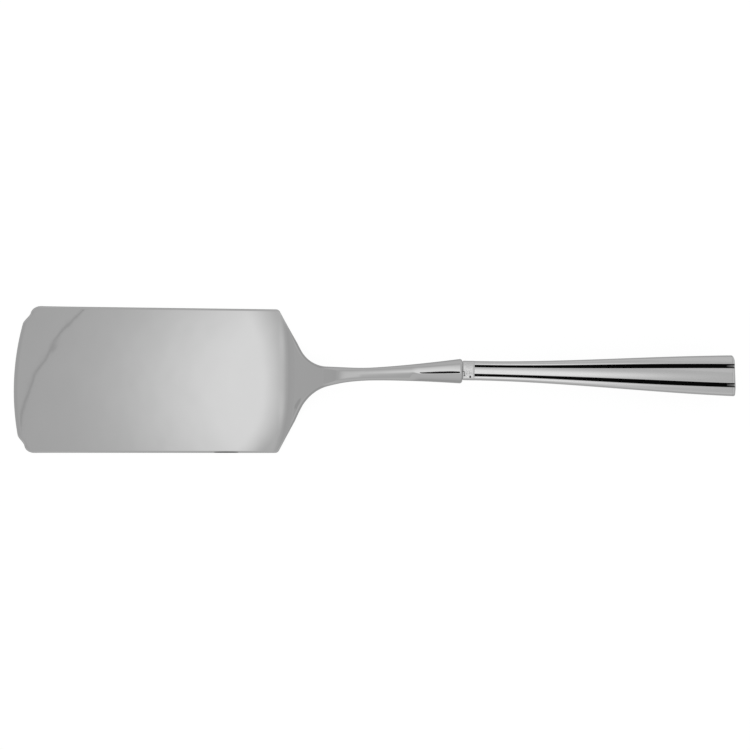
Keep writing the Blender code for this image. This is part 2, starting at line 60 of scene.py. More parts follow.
# The forging: sheet, heel bend, neck, shank and bolster. Sizes in mm, slopes in degrees.
forging = {
    "bladeLength": 95.25,  # from the serving edge's foremost point to the shoulders
    "bladeWidth": 52.9,
    "bladeTaper": 1.2,  # how much narrower it is at the heel
    "sheet": 1.4,
    "frontEdge": 1.0,  # the sheet's thickness at the serving edge, with frontRound its rounding
    "frontRound": 0.8,
    "thinning": 11.0,  # the length over which it thins
    "bowFade": 22.0,  # the length over which the rows straighten behind the bow
    "bowRadius": 92.0,
    "bowOffset": -3.6,  # across the blade, which sets the edge askew
    "cornerStep": 1.7,  # the clipped corners: how far they stand back, over what width, how far in
    "cornerStepWidth": 3.9,
    "cornerStepInset": 6.45,
    "cornerRoundWidth": 2.2,
    "cornerRoundLength": 2.8,
    "shoulderSlope": 62.0,  # of the slanted shoulders, from the server's length
    "shoulderRound": 1.6,
    "filletRadius": 13.55,  # from a shoulder into the neck, and then the sweep into the waist
    "sweepSlope": 10.0,
    "sweepRadius": 86.0,
    "waist": 4.6,  # the shank at its thinnest
    "undercut": 0.5,  # how much further on the neck's rows are taken, as a share of half its thickness
    "crown": 0.09,  # of the plate across its width
    "liftSlope": 2.3,  # the heel's first slow rise, where it starts ahead of the shoulders, and its length
    "liftLead": 7.85,
    "liftLength": 10.55,
    "dish": 6.25,  # how much sooner the heel's sides lift, more on the -Y side by the skew
    "dishSkew": 0.31,
    "dishPower": 3.0,
    "bendDish": 3.0,  # the same for the bend
    "bendDishPower": 2.2,
    "bendLag": 0.25,  # the sharp bend starts this far behind the shoulders
    "bendLength": 6.6,
    "bendPower": 4.3,
    "neckSlope": 44.0,
    "neckRun": 9.8,  # the neck's straight stretch
    "crestLength": 10.4,  # over which the neck levels out to easeSlope
    "crestPower": 5.0,
    "easeSlope": 3.0,
    "kinkLength": 3.5,  # a slight kink ahead of the last, nearly level stretch
    "levelSlope": 1.4,
    "bolsterSlope": 0.45,
    "levelLength": 14.5,
    "shankLength": 33.6,
    "shankPower": 1.5,
    "bolsterWidth": 8.95,
    "bolsterThickness": 7.75,
    "rimRound": 1.05,  # the bolster's back edge, along X, and rimTop down from its top
    "rimTop": 0.85,
    "rimPower": 5.0,
    "drift": 2.6,  # how far the forging leans to +Y in all, and how much of a bend the neck adds
    "neckSway": 1.49,
    "neckSwayLength": 26.0,
    "tangLength": 45.0,  # hidden in the handle, and used only to find the bolster's back
    # The ridge along the shank's top as (x, y off the middle), and the radii of the crown to its +Y
    # and -Y sides as (x, radius)
    "apexPlaces": [(-8, 0.6), (13.7, 0.58), (16.8, -0.34), (19.4, -0.44), (22.3, -0.52), (30.7, -0.66)],
    "facetRadii": [(-12, 65), (-3, 17), (13.7, 17), (16.8, 33), (27, 43)],
    "flankRadii": [(-12, 65), (-5, 20), (2, 16), (13, 13)],
    "flankStart": 12.5,  # where the shank's -Y flank begins to turn round
    "flankLength": 4.5,
    "facetPower": 7.0,
    "flankPower": 2.2,
    "edgePower": 3.0,
}

# The hollow handle. Places run along its own axis from the back of the bolster.
handle = {
    "offset": 0.24,  # of the axis from the bolster's middle, to +Y
    "sway": 1.28,  # how far the axis has come back to -Y at the butt
    "roll": -0.9,  # degrees, about its own axis
    "gap": 0.3,
    "bandLength": 3.8,  # the ferrule
    "length": 93.0,  # of the shells
    "wall": 0.5,
    "mouthWidth": 6.92,
    "mouthThickness": 6.2,
    "buttWidth": 14.6,
    "buttThickness": 8.6,
    "flareLag": 0.6,  # how late the handle widens
    "crownRadius": 80.0,  # across the whole handle, and lobeRadius across the middle lobe
    "lobeRadius": 45.0,
    "sideMouthWidth": 0.8,  # the rounding along each side
    "sideButtWidth": 1.2,
    "sideHeight": 1.9,
    "sidePower": 2.6,
    "lipSlope": 0.075,  # of the outer lobes towards the flutes, over this share of their width
    "lipShare": 0.6,
    "flutePlaceShare": 0.47,  # of the half width
    "fluteMouthWidth": 0.9,
    "fluteButtWidth": 1.58,
    "fluteMouthDepth": 0.35,
    "fluteButtDepth": 0.55,
    "fluteStart": 0.1,  # where the flutes begin to widen and over how much, as shares of the length
    "fluteGrowth": 0.65,
    "flutePower": 1.5,  # how sharp the flute's floor is, and fluteEase how soft its lips are
    "fluteEase": 0.25,
    "shadeFadeLength": 2.4,  # where the flutes' painted shade turns paler at the butt
    "seamHalf": 0.16,  # half the gap between the shells, along the solder
    "ferruleCrown": 60.0,
    "ferruleStep": 0.03,  # how far the ferrule stands out past the shells
    "ferruleRound": 0.03,
    "ferruleNose": 0.55,  # the ferrule's rounded front, along the axis and inwards
    "ferruleNoseDrop": 0.22,
    "buttSlant": 0.47,  # the butt is a little askew, with its +Y corner worn
    "buttCornerWidth": 1.6,
    "buttCornerLength": 0.6,
    "buttEase": 10.0,
    "capThickness": 0.7,
    "capRound": 0.55,
    "capDome": 0.2,
    "capReach": 0.85,
    "capEase": 0.04,
    "hairline": 0.02,  # the gap left at each soldered joint
}


def smooth(share):
    share = min(max(share, 0.0), 1.0)
    return share * share * (3 - 2 * share)


def mix(low, high, share):
    return low + (high - low) * share


def spread(low, high, count, last=False):
    # Equal steps from low to high, with the last one only where it is asked for
    return [mix(low, high, index / count) for index in range(count + int(last))]


# Places along X, in mm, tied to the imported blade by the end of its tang
shoulderLean = math.radians(forging["shoulderSlope"])
sweepLean = math.radians(forging["sweepSlope"])
neckLean = math.radians(forging["neckSlope"])
easeLean = math.radians(forging["easeSlope"])
levelLean = math.radians(forging["levelSlope"])
endLean = math.radians(forging["bolsterSlope"])
liftLean = math.radians(forging["liftSlope"])
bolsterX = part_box("blade")[1][0] / mm - forging["tangLength"]
waistX = bolsterX - forging["shankLength"]
sweepReach = forging["sweepRadius"] * math.sin(sweepLean)
sweepHalf = forging["waist"] / 2 + forging["sweepRadius"] * (1 - math.cos(sweepLean))
filletReach = sweepReach + forging["filletRadius"] * (math.sin(shoulderLean) - math.sin(sweepLean))
filletHalf = sweepHalf + forging["filletRadius"] * (math.cos(sweepLean) - math.cos(shoulderLean))
heelWidth = forging["bladeWidth"] - forging["bladeTaper"]
neckLength = filletReach + (heelWidth / 2 - filletHalf) / math.tan(shoulderLean)
shoulderX = waistX - neckLength
frontX = shoulderX - forging["bladeLength"]
bendX = shoulderX + forging["bendLag"]
liftX = shoulderX - forging["liftLead"]
levelX = bolsterX - forging["levelLength"]
kinkX = levelX - forging["kinkLength"]
runX = bendX + forging["bendLength"]
crestX = runX + forging["neckRun"]
easeX = crestX + forging["crestLength"]
shoulderTangent = forging["shoulderRound"] * math.tan(shoulderLean / 2)
roundX = shoulderX - shoulderTangent
slantX = shoulderX + shoulderTangent * math.cos(shoulderLean)

# Places along the handle's own axis, from the back of the bolster
shellX = 2 * handle["gap"] + handle["bandLength"]
buttX = shellX + handle["length"]
handleSpan = handle["gap"] * 3 + handle["bandLength"] + handle["length"] + handle["capThickness"]


def liftLeanAt(x):  # the slope of the heel's slow rise, in radians
    return liftLean * min(max((x - liftX) / forging["liftLength"], 0.0), 1.0)


def liftRiseAt(x):  # how high that rise alone has come
    past = max(x - liftX, 0.0)
    ramp = min(past, forging["liftLength"])
    return liftLean * (ramp ** 2 / (2 * forging["liftLength"]) + past - ramp)


def leanAt(x):
    # The slope along the forging's middle: lift and bend, straight neck, crest, kink and shank
    if x <= runX:
        bent = (max(x - bendX, 0.0) / forging["bendLength"]) ** forging["bendPower"]
        return mix(liftLeanAt(x), neckLean, bent)
    if x <= crestX:
        return neckLean
    if x <= easeX:
        return mix(easeLean, neckLean, ((easeX - x) / forging["crestLength"]) ** forging["crestPower"])
    if x <= levelX:
        return mix(easeLean, levelLean, smooth((x - kinkX) / forging["kinkLength"]))
    return mix(levelLean, endLean, (x - levelX) / forging["levelLength"])


# The rise along the middle, summed up from its slope
riseStep = 0.05
riseXs = np.arange(liftX, bolsterX + riseStep, riseStep)
riseSteps = [math.tan(leanAt(x + riseStep / 2)) * riseStep for x in riseXs]
riseZs = np.concatenate([[0.0], np.cumsum(riseSteps)])[:-1]
axisZ = forging["sheet"] + float(riseZs[-1]) - forging["bolsterThickness"] / 2


def riseAt(x):
    return float(np.interp(x, riseXs, riseZs))


def swayAt(x):  # how far the forging's middle line lies to +Y
    share = min(max((x - shoulderX) / (bolsterX - shoulderX), 0.0), 1.0)
    turned = smooth((x - shoulderX) / forging["neckSwayLength"])
    return forging["drift"] * share + forging["neckSway"] * turned


def halfWidthAt(x):
    # The outline from front to back: blade, round shoulder, slant, fillet, sweep and shank
    if x <= slantX:
        side = mix(forging["bladeWidth"], heelWidth, (x - frontX) / forging["bladeLength"]) / 2
        past = max(x - roundX, 0.0)
        radius = forging["shoulderRound"]
        return side - radius + math.sqrt(radius ** 2 - past ** 2)
    ahead = waistX - x
    if ahead > filletReach:
        return filletHalf + (ahead - filletReach) * math.tan(shoulderLean)
    if ahead > sweepReach:
        lean = math.asin(math.sin(sweepLean) + (ahead - sweepReach) / forging["filletRadius"])
        return sweepHalf + forging["filletRadius"] * (math.cos(sweepLean) - math.cos(lean))
    if ahead > 0:
        lean = math.asin(ahead / forging["sweepRadius"])
        return forging["waist"] / 2 + forging["sweepRadius"] * (1 - math.cos(lean))
    flare = (-ahead / forging["shankLength"]) ** forging["shankPower"]
    return mix(forging["waist"], forging["bolsterWidth"], flare) / 2


def ringHalfWidth(x):
    # On the steep neck the underside stands out past the plane of the row, so the row is taken a
    # little further on, where the neck is narrower
    if x <= slantX or x >= waistX:
        return halfWidthAt(x)
    return halfWidthAt(x + forging["undercut"] * halfThicknessAt(x) * math.sin(leanAt(x)))


def halfThicknessAt(x):
    if x <= shoulderX:
        thinned = 1 - smooth((x - frontX) / forging["thinning"])
        return mix(forging["sheet"], forging["frontEdge"], thinned) / 2
    if x <= waistX:
        return mix(forging["sheet"], forging["waist"], smooth((x - shoulderX) / neckLength)) / 2
    flare = ((x - waistX) / forging["shankLength"]) ** forging["shankPower"]
    return mix(forging["waist"], forging["bolsterThickness"], flare) / 2


def setbackAt(y):  # the serving edge behind its foremost point: a bow, a clipped step, a round
    bow = forging["bowRadius"] - math.sqrt(forging["bowRadius"] ** 2 - (y - forging["bowOffset"]) ** 2)
    inset = forging["bladeWidth"] / 2 - abs(y)
    stepShare = smooth((forging["cornerStepInset"] - inset) / forging["cornerStepWidth"])
    cornerShare = min(max(1 - inset / forging["cornerRoundWidth"], 0.0), 1.0)
    corner = forging["cornerRoundLength"] * (1 - math.sqrt(1 - cornerShare ** 2))
    return bow + forging["cornerStep"] * stepShare + corner


def valueAlong(stations, x):
    places, values = zip(*stations)
    return float(np.interp(x, places, values))


def dishAt(y):  # how much sooner than in the middle the heel lifts, more so on the -Y side
    skew = 1 - math.copysign(forging["dishSkew"], y)
    return forging["dish"] * skew * abs(2 * y / heelWidth) ** forging["dishPower"]


def bendDishAt(y):  # the same for the bend that follows, but less of it
    skew = 1 - math.copysign(forging["dishSkew"], y)
    return forging["bendDish"] * skew * abs(2 * y / heelWidth) ** forging["bendDishPower"]


def roundShare(place, power):  # the height of a rounded bar at a place from 0 in its middle to 1
    return max(1 - place ** power, 0.0) ** (1 / power)


def crownedShare(x, share, wide, thick):
    # The top of the shank: a soft crown that sharpens, towards the bolster, into a nearly flat
    # facet on the +Y side of a ridge and a round flank on the other
    apex = valueAlong(forging["apexPlaces"], x) / wide
    offset = (share - apex) * wide
    if share > apex:
        place = (share - apex) / (1 - apex)
        crown = offset ** 2 / (2 * valueAlong(forging["facetRadii"], x)) * (1 - place ** 2)
        return roundShare(place, forging["facetPower"]) - crown / thick
    place = (apex - share) / (1 + apex)
    crown = offset ** 2 / (2 * valueAlong(forging["flankRadii"], x)) * (1 - place ** 2)
    soft = roundShare(place, forging["facetPower"]) - crown / thick
    turned = smooth((x - forging["flankStart"]) / forging["flankLength"])
    return mix(soft, roundShare(place, forging["flankPower"]), turned)


def forgingPoint(x, share, side, body, follow, narrowed, thinned):
    # share runs from -1 to 1 across the row at x, and side is 1 on top and -1 below. body is how much
    # of the thickness the row has, follow how far it takes the serving edge's own line, and narrowed
    # and thinned are what the rounding of the bolster's rim takes off.
    wide = ringHalfWidth(x) - narrowed
    thick = halfThicknessAt(x) - thinned
    full = halfThicknessAt(x)
    roundness = smooth((x - shoulderX) / neckLength)
    edge = min(thick / wide, 1.0)
    strip = roundShare(max(abs(share) - 1 + edge, 0.0) / edge, forging["edgePower"])
    oval = roundShare(abs(share), forging["flankPower"])
    if side > 0:
        oval = crownedShare(x, share, wide, thick)
    reach = side * body * thick * mix(strip, oval, roundness)
    y = share * wide
    px = x + follow * setbackAt(y)
    ahead = px + (dishAt(y) if x < waistX else 0.0)
    bent = px + (bendDishAt(y) if x < waistX else 0.0)
    lean = leanAt(bent) + liftLeanAt(ahead) - liftLeanAt(bent)
    middle = riseAt(bent) + liftRiseAt(ahead) - liftRiseAt(bent)
    middle += forging["sheet"] - full  # the forging gains its thickness below
    middle += forging["crown"] * (1 - (2 * y / heelWidth) ** 2) * (1 - roundness)
    return (px - reach * math.sin(lean), y + swayAt(px), middle + reach * math.cos(lean))


# Modelling helpers

def startFresh():
    if bpy.context.object and bpy.context.object.mode != "OBJECT":
        bpy.ops.object.mode_set(mode="OBJECT")
    bpy.ops.object.select_all(action="DESELECT")


def gridSkin(name, rows, columns, pointAt):
    # A grid primitive whose vertices are carried onto a surface, row by row
    startFresh()
    bpy.ops.mesh.primitive_grid_add(x_subdivisions=rows, y_subdivisions=columns, size=2)
    skin = bpy.context.object
    skin.name = name
    flat = np.empty(len(skin.data.vertices) * 3)
    skin.data.vertices.foreach_get("co", flat)
    flat = flat.reshape(-1, 3)
    rowOf = np.rint((flat[:, 0] + 1) / 2 * rows).astype(int)
    columnOf = np.rint((flat[:, 1] + 1) / 2 * columns).astype(int)
    placed = np.array([pointAt(row, column) for row, column in zip(rowOf, columnOf)]) * mm
    skin.data.vertices.foreach_set("co", placed.ravel())
    skin.data.update()
    return skin


def pick(piece):
    startFresh()
    piece.select_set(True)
    bpy.context.view_layer.objects.active = piece


def weld(piece, threshold=2e-6):
    # Closes the tube along its side and at both ends, with the faces pointing out
    pick(piece)
    bpy.ops.object.mode_set(mode="EDIT")
    bpy.ops.mesh.select_all(action="SELECT")
    bpy.ops.mesh.remove_doubles(threshold=threshold)
    bpy.ops.mesh.fill_holes(sides=0)
    bpy.ops.mesh.select_all(action="SELECT")
    bpy.ops.mesh.normals_make_consistent(inside=False)
    bpy.ops.object.mode_set(mode="OBJECT")


def finishSmooth(piece, angle):
    pick(piece)
    for modifier in [m.name for m in piece.modifiers]:
        bpy.ops.object.modifier_apply(modifier=modifier)
    bpy.ops.object.shade_smooth_by_angle(angle=math.radians(angle))


def handleAxis():
    # The handle's own axis, a little crooked and rolled, from the back of the bolster
    turn = Euler((math.radians(handle["roll"]), 0.0, -math.atan(handle["sway"] / handleSpan)))
    place = Vector((bolsterX, swayAt(bolsterX) + handle["offset"], axisZ)) * mm
    return Matrix.Translation(place) @ turn.to_matrix().to_4x4()


def seatOnAxis(piece):
    # Carries a piece modelled along X from zero onto the handle's axis
    piece.data.transform(handleAxis())
    piece.data.update()


# Blade

bladeMesh = {
    "columns": 120,
    "edgeRows": 8,
    "bladeRows": 90,
    "heelRows": 40,
    "shoulderRows": 14,
    "neckRows": 50,
    "shankRows": 90,
    "rimRows": 12,
    "smoothAngle": 50,
}


def forgingStations():
    # (x, body, follow, narrowed, thinned) for each row, from the serving edge to the bolster's back
    stations = []
    frontRound = forging["frontRound"]
    for turn in spread(0.0, math.pi / 2, bladeMesh["edgeRows"], True):
        stations.append((frontX + frontRound * (1 - math.cos(turn)), math.sin(turn), 1.0, 0.0, 0.0))
    dishX = liftX - forging["dish"] * (1 + forging["dishSkew"])
    for x in spread(frontX + frontRound, dishX, bladeMesh["bladeRows"])[1:]:
        follow = (1 - min((x - frontX - frontRound) / forging["bowFade"], 1.0)) ** 2
        stations.append((x, 1.0, follow, 0.0, 0.0))
    rimX = bolsterX - forging["rimRound"]
    plain = spread(dishX, roundX, bladeMesh["heelRows"])
    plain += spread(roundX, slantX, bladeMesh["shoulderRows"])
    plain += spread(slantX, runX, bladeMesh["heelRows"])
    plain += spread(runX, easeX, bladeMesh["neckRows"])
    plain += spread(easeX, rimX, bladeMesh["shankRows"])
    stations += [(x, 1.0, 0.0, 0.0, 0.0) for x in plain]
    for turn in spread(0.0, math.pi / 2, bladeMesh["rimRows"], True):
        narrowed = forging["rimRound"] * (1 - math.cos(turn))
        thinned = forging["rimTop"] * (1 - roundShare(math.sin(turn), forging["rimPower"]))
        stations.append((rimX + forging["rimRound"] * math.sin(turn), 1.0, 0.0, narrowed, thinned))
    return stations


def makeBlade():
    stations = forgingStations()
    columns = bladeMesh["columns"]
    around = 2 * columns  # over the top and back below, so the last column meets the first

    def pointAt(row, column):
        x, body, follow, narrowed, thinned = stations[row]
        step = column % around
        side = 1 if step <= columns else -1
        turn = step if step <= columns else around - step
        share = math.sin(math.pi * (turn / columns - 0.5))
        return forgingPoint(x, share, side, body, follow, narrowed, thinned)

    blade = gridSkin("bladeForging", len(stations) - 1, around, pointAt)
    weld(blade)
    finishSmooth(blade, bladeMesh["smoothAngle"])
    return blade


# Handle

def flareAt(x):  # from 0 at the handle's mouth to 1 at its butt
    share = min(max((x - shellX) / handle["length"], 0.0), 1.0)
    return smooth(share) - handle["flareLag"] * share * share * (1 - share)


def handleSizes(x):
    flare = flareAt(x)
    wide = mix(handle["mouthWidth"], handle["buttWidth"], flare) / 2
    return wide, mix(handle["mouthThickness"], handle["buttThickness"], flare) / 2


def fluteAt(x):
    # Where a flute lies off the middle, its half width and its depth
    centre = handle["flutePlaceShare"] * handleSizes(x)[0]
    growth = smooth(((x - shellX) / handle["length"] - handle["fluteStart"]) / handle["fluteGrowth"])
    half = mix(handle["fluteMouthWidth"], handle["fluteButtWidth"], growth) / 2
    return centre, half, mix(handle["fluteMouthDepth"], handle["fluteButtDepth"], flareAt(x))


def sideWidthAt(x):
    return mix(handle["sideMouthWidth"], handle["sideButtWidth"], flareAt(x))


def buttSetback(x, y):  # how far the worn butt lies behind a square one, fading out ahead of it
    wide = handleSizes(x)[0]
    slant = handle["buttSlant"] * (y + wide) / (2 * wide)
    rampShare = max(1 - (wide - y) / handle["buttCornerWidth"], 0.0)
    follow = smooth(1 - (buttX - x) / handle["buttEase"])
    return follow * (slant + handle["buttCornerLength"] * rampShare ** 2)


def crownDrop(radius, off):  # how far an arc has fallen away at off from its top
    return radius - math.sqrt(radius ** 2 - off ** 2)


def sectionZ(x, y):
    # The height of the handle's upper skin over its axis: a crowned bar with round sides and two flutes
    wide, high = handleSizes(x)
    centre, half, depth = fluteAt(x)
    off = abs(y)
    side = sideWidthAt(x)
    roundY = wide - side
    z = high - crownDrop(handle["crownRadius"], min(off, roundY))
    if off > roundY:
        past = min((off - roundY) / side, 1.0)
        return z - handle["sideHeight"] * (1 - roundShare(past, handle["sidePower"]))
    if off <= centre - half:
        return z - crownDrop(handle["lobeRadius"], off)
    drop = crownDrop(handle["lobeRadius"], centre - half)
    lipReach = (roundY - centre - half) * handle["lipShare"]  # the outer lobe leans in at its lip
    outerDrop = handle["lipSlope"] * lipReach / 2
    if off < centre + half:
        floor = 1 - abs(off - centre) / half
        lip = mix(drop, outerDrop, (off - centre + half) / (2 * half))
        sunk = (1 - (1 - floor) ** handle["flutePower"]) * smooth(floor / handle["fluteEase"])
        return z - lip - depth * sunk
    past = max(centre + half + lipReach - off, 0.0) / lipReach
    return z - outerDrop * past ** 2


shellMesh = {"rows": 180, "lobe": 10, "flute": 12, "outer": 14, "side": 12, "wall": 4, "smoothAngle": 40}
ferruleMesh = {"crown": 16, "side": 12, "nose": 8, "band": 6, "edge": 4}
capMesh = {"edge": 6, "dome": 5}
ringAngle = 35


def sideColumns(x):
    # (y, z) from the middle of the handle down to the seam, on one side
    wide = handleSizes(x)[0]
    centre, half, _ = fluteAt(x)
    side = sideWidthAt(x)
    roundY = wide - side
    ys = spread(0.0, centre - half, shellMesh["lobe"])
    ys += spread(centre - half, centre + half, shellMesh["flute"])
    ys += spread(centre + half, roundY, shellMesh["outer"])
    points = [(y, sectionZ(x, y)) for y in ys]
    for index in range(shellMesh["side"] + 1):
        y = roundY + side * math.sin(math.pi / 2 * index / shellMesh["side"])
        points.append((y, sectionZ(x, y)))
    low = points[-1][1]
    for index in range(1, shellMesh["wall"] + 1):
        points.append((wide, mix(low, handle["seamHalf"], index / shellMesh["wall"])))
    return points


def makeShell(name, turn):
    rows = shellMesh["rows"]
    sections = []
    for row in range(rows + 1):
        side = sideColumns(shellX + handle["length"] * row / rows)
        sections.append([(-y, z) for y, z in reversed(side[1:])] + side)
    columns = len(sections[0]) - 1

    def pointAt(row, column):
        y, z = sections[row][column]
        x = shellX + handle["length"] * row / rows
        return (x - buttSetback(x, y * turn), y * turn, z * turn)

    shell = gridSkin(name, rows, columns, pointAt)
    wall = shell.modifiers.new("wall", "SOLIDIFY")
    wall.thickness = handle["wall"] * mm
    wall.offset = -1.0
    finishSmooth(shell, shellMesh["smoothAngle"])
    seatOnAxis(shell)
    return shell


def wholeSection(side):
    # Both halves of the section as one ring, from one side's (y, z) points
    side = side[:-1] + [(side[-1][0], 0.0)]
    over = [(-y, z) for y, z in reversed(side[1:])] + side
    return over + [(y, -z) for y, z in reversed(over[1:-1])]


def ringSkin(name, rings):
    # rings: (x, inset, outline). A tube between the rings with both ends closed.
    count = len(rings[0][2])
    wide = max(y for y, z in rings[0][2])
    high = max(z for y, z in rings[0][2])

    def pointAt(row, column):
        x, inset, outline = rings[row]
        y, z = outline[column % count]
        return (x - buttSetback(x, y), y * (wide - inset) / wide, z * (high - inset) / high)

    tube = gridSkin(name, len(rings) - 1, count, pointAt)
    weld(tube)
    finishSmooth(tube, ringAngle)
    seatOnAxis(tube)
    return tube


def makeFerrule():
    wide = handle["mouthWidth"] / 2 + handle["ferruleStep"]
    high = handle["mouthThickness"] / 2 + handle["ferruleStep"]
    roundWidth = handle["sideMouthWidth"]
    roundY = wide - roundWidth
    ys = spread(0.0, roundY, ferruleMesh["crown"])
    side = [(y, high - crownDrop(handle["ferruleCrown"], y)) for y in ys]
    low = high - crownDrop(handle["ferruleCrown"], roundY)
    for index in range(ferruleMesh["side"] + 1):
        past = math.sin(math.pi / 2 * index / ferruleMesh["side"])
        drop = handle["sideHeight"] * (1 - roundShare(past, handle["sidePower"]))
        side.append((roundY + roundWidth * past, low - drop))
    side.append((wide, 0.0))
    outline = wholeSection(side)
    start = handle["hairline"]
    end = shellX - handle["hairline"]
    soft = handle["ferruleRound"]
    nose = handle["ferruleNose"]
    rings = [(start + nose * (1 - math.cos(turn)), handle["ferruleNoseDrop"] * (1 - math.sin(turn)), outline)
             for turn in spread(0.0, math.pi / 2, ferruleMesh["nose"], True)]
    rings += [(x, 0.0, outline) for x in spread(start + nose, end - soft, ferruleMesh["band"], True)[1:]]
    rings += [(end - soft * (1 - math.sin(turn)), soft * (1 - math.cos(turn)), outline)
              for turn in spread(0.0, math.pi / 2, ferruleMesh["edge"], True)[1:]]
    return ringSkin("neckFerrule", rings)


def makeCap():
    start = buttX + handle["hairline"]
    face = buttX + handle["gap"] + handle["capThickness"] - handle["capDome"]
    outline = wholeSection(sideColumns(buttX))
    ease = handle["capEase"]
    soft = handle["capRound"]
    rings = [(start, ease, outline), (start + ease, 0.0, outline)]
    rings += [(face - soft * (1 - math.sin(turn)), soft * (1 - math.cos(turn)), outline)
              for turn in spread(0.0, math.pi / 2, capMesh["edge"], True)]
    reach = handle["buttThickness"] / 2 - soft
    for share in spread(0.0, 1.0, capMesh["dome"], True)[1:]:
        x = face + handle["capDome"] * (1 - (1 - share) ** 2)
        rings.append((x, soft + reach * share * handle["capReach"], outline))
    return ringSkin("buttCap", rings)


blade = makeBlade()
print("blade skin:", len(blade.data.polygons), "faces")
upper = makeShell("handleUpper", 1)
lower = makeShell("handleLower", -1)
ferrule = makeFerrule()
cap = makeCap()
print("handle pieces made")


# Materials

def linear(hexColour):  # from an sRGB hex value
    channels = [int(hexColour[index:index + 2], 16) / 255 for index in (1, 3, 5)]
    return [c / 12.92 if c <= 0.04045 else ((c + 0.055) / 1.055) ** 2.4 for c in channels] + [1.0]


def addNode(tree, kind, settings=None, inputs=None, links=None):
    node = tree.nodes.new(kind)
    for key, value in (settings or {}).items():
        setattr(node, key, value)
    for key, value in (inputs or {}).items():
        node.inputs[key].default_value = value
    for key, source in (links or {}).items():
        tree.links.new(source, node.inputs[key])
    return node


def newMaterial(name):
    material = bpy.data.materials.new(name)
    material.use_nodes = True
    return material, material.node_tree, material.node_tree.nodes["Principled BSDF"]


# What the polishing wheel leaves on every metal piece. Sizes in mm.
buffing = {
    "lineDetail": 3.0,
    "lineRoughness": 0.6,
    "cloudSize": 14.0,
    "cloudDetail": 2.0,
    "swellSize": 9.0,
    "swellDetail": 1.0,
    "depth": 0.02,
    "smoothest": 0.85,
    "roughest": 1.2,
    "darkest": 0.96,
}


def polishedMetal(name, hexColour, roughness, grain, stretch, relief, waves):
    # Buffed metal: a mirror softened by fine parallel lines along the piece, grain mm apart, over
    # the faint long waves that a polishing wheel leaves
    material, tree, shader = newMaterial(name)
    shader.inputs["Metallic"].default_value = 1.0
    place = addNode(tree, "ShaderNodeTexCoord")
    drawnOut = addNode(tree, "ShaderNodeMapping", inputs={"Scale": (1 / stretch, 1, 1)},
                       links={"Vector": place.outputs["Object"]})
    lines = addNode(tree, "ShaderNodeTexNoise",
                    inputs={"Scale": 1 / (grain * mm), "Detail": buffing["lineDetail"],
                            "Roughness": buffing["lineRoughness"]},
                    links={"Vector": drawnOut.outputs["Vector"]})
    clouds = addNode(tree, "ShaderNodeTexNoise",
                     inputs={"Scale": 1 / (buffing["cloudSize"] * mm), "Detail": buffing["cloudDetail"]},
                     links={"Vector": place.outputs["Object"]})
    rough = addNode(tree, "ShaderNodeMapRange",
                    inputs={"To Min": roughness * buffing["smoothest"],
                            "To Max": roughness * buffing["roughest"]},
                    links={"Value": clouds.outputs["Fac"]})
    swell = addNode(tree, "ShaderNodeTexNoise",
                    inputs={"Scale": 1 / (buffing["swellSize"] * mm), "Detail": buffing["swellDetail"]},
                    links={"Vector": place.outputs["Object"]})
    wavy = addNode(tree, "ShaderNodeBump", inputs={"Strength": waves, "Distance": buffing["depth"] * mm},
                   links={"Height": swell.outputs["Fac"]})
    bump = addNode(tree, "ShaderNodeBump", inputs={"Strength": relief, "Distance": buffing["depth"] * mm},
                   links={"Height": lines.outputs["Fac"], "Normal": wavy.outputs["Normal"]})
    bright = linear(hexColour)
    dim = [channel * buffing["darkest"] for channel in bright[:3]] + [1.0]
    tone = addNode(tree, "ShaderNodeMix", settings={"data_type": "RGBA"}, inputs={6: dim, 7: bright},
                   links={0: clouds.outputs["Fac"]})
    tree.links.new(tone.outputs[2], shader.inputs["Base Color"])
    tree.links.new(rough.outputs["Result"], shader.inputs["Roughness"])
    tree.links.new(bump.outputs["Normal"], shader.inputs["Normal"])
    return material


def pitMetal(material, hexColour, pits):
    # Small dark pits, each (x, y, across) in mm, seen from above and below
    tree = material.node_tree
    shader = tree.nodes["Principled BSDF"]
    place = addNode(tree, "ShaderNodeTexCoord")
    flat = addNode(tree, "ShaderNodeMapping", inputs={"Scale": (1, 1, 0)},
                   links={"Vector": place.outputs["Object"]})
    tone = shader.inputs["Base Color"].links[0].from_socket
    for x, y, across in pits:
        far = addNode(tree, "ShaderNodeVectorMath", settings={"operation": "DISTANCE"},
                      inputs={1: (x * mm, y * mm, 0)}, links={0: flat.outputs["Vector"]})
        dark = addNode(tree, "ShaderNodeMapRange",
                       inputs={"From Min": across * mm / 2, "From Max": across * mm / 4},
                       links={"Value": far.outputs["Value"]})
        pitted = addNode(tree, "ShaderNodeMix", settings={"data_type": "RGBA"},
                         inputs={7: linear(hexColour)}, links={0: dark.outputs["Result"], 6: tone})
        tone = pitted.outputs[2]
    tree.links.new(tone, shader.inputs["Base Color"])


def fadingFluteShade(name, startX, endX):
    # The flutes' painted shade, paler along the middle of a flute where it runs out at the butt
    material, tree, shader = newMaterial(name)
    place = addNode(tree, "ShaderNodeTexCoord")
    axes = addNode(tree, "ShaderNodeSeparateXYZ", links={0: place.outputs["Object"]})
    rampShare = addNode(tree, "ShaderNodeMapRange", inputs={"From Min": startX * mm, "From Max": endX * mm},
                     links={"Value": axes.outputs["X"]})
    tone = addNode(tree, "ShaderNodeMix", settings={"data_type": "RGBA"},
                   inputs={6: linear("#2E2E2E"), 7: linear("#7A7A7A")}, links={0: rampShare.outputs["Result"]})
    tree.links.new(tone.outputs[2], shader.inputs["Base Color"])
    shader.inputs["Roughness"].default_value = 0.5
    shader.inputs["Specular IOR Level"].default_value = 0.1
    return material


